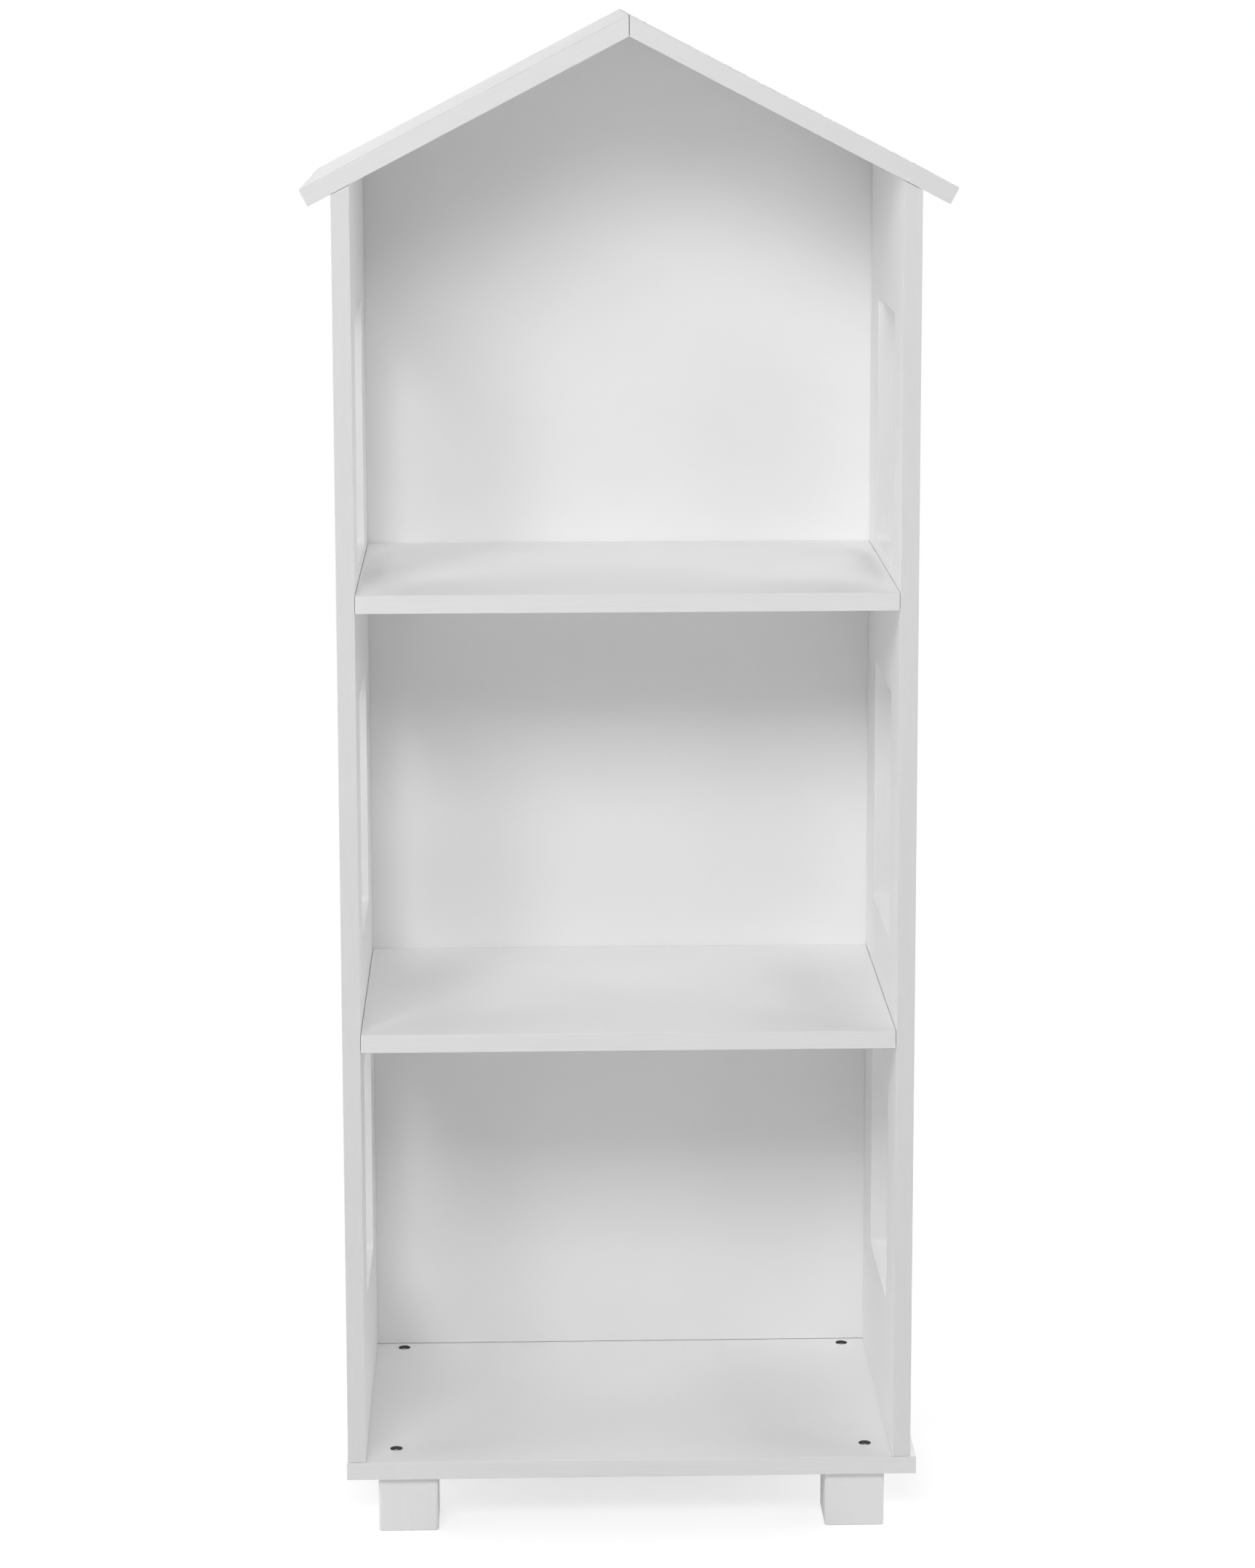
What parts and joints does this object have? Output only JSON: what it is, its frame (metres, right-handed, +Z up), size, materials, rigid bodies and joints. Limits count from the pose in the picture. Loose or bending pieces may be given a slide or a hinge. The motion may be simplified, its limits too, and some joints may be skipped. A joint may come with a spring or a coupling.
{
  "type": "house shaped bookcase",
  "caption": "White child-sized bookcase shaped like a house, with a pitched roof, shelves between sides with open windows, a closed back and block feet.",
  "frame": {"origin": "on the floor, below the middle of the roof: the centre of the bounding box's bottom face", "axes": "+Z up; the open front faces -Y; +X to the right of someone facing the front"},
  "size_m": [0.524, 0.3, 1.2578],
  "materials": {
    "white_lacquer": "white satin lacquer on fibreboard",
    "zinc_plate": "bright zinc-plated steel",
    "zinc_cam": null,
    "brass_insert": "machined",
    "beech": "plain fluted-dowel beech, drawn smooth"
  },
  "bodies": {
    "root": {"base_board": "white_lacquer", "left_side": "white_lacquer", "right_side": "white_lacquer", "lower_shelf": "white_lacquer", "upper_shelf": "white_lacquer", "back_panel": "white_lacquer", "left_roof": "white_lacquer", "right_roof": "white_lacquer", "front_left_foot": "white_lacquer", "front_right_foot": "white_lacquer", "back_left_foot": "white_lacquer", "back_right_foot": "white_lacquer", "foot_bolts": "zinc_plate", "foot_inserts": "brass_insert", "side_screws": "zinc_plate", "side_dowels": "beech", "shelf_cam_bolts": "zinc_plate", "shelf_cam_locks": "zinc_cam", "shelf_dowels": "beech", "panel_screws": "zinc_plate", "panel_dowels": "beech", "gable_dowels": "beech", "roof_dowels": "beech", "ridge_dowels": "beech"}
  },
  "joints": []
}
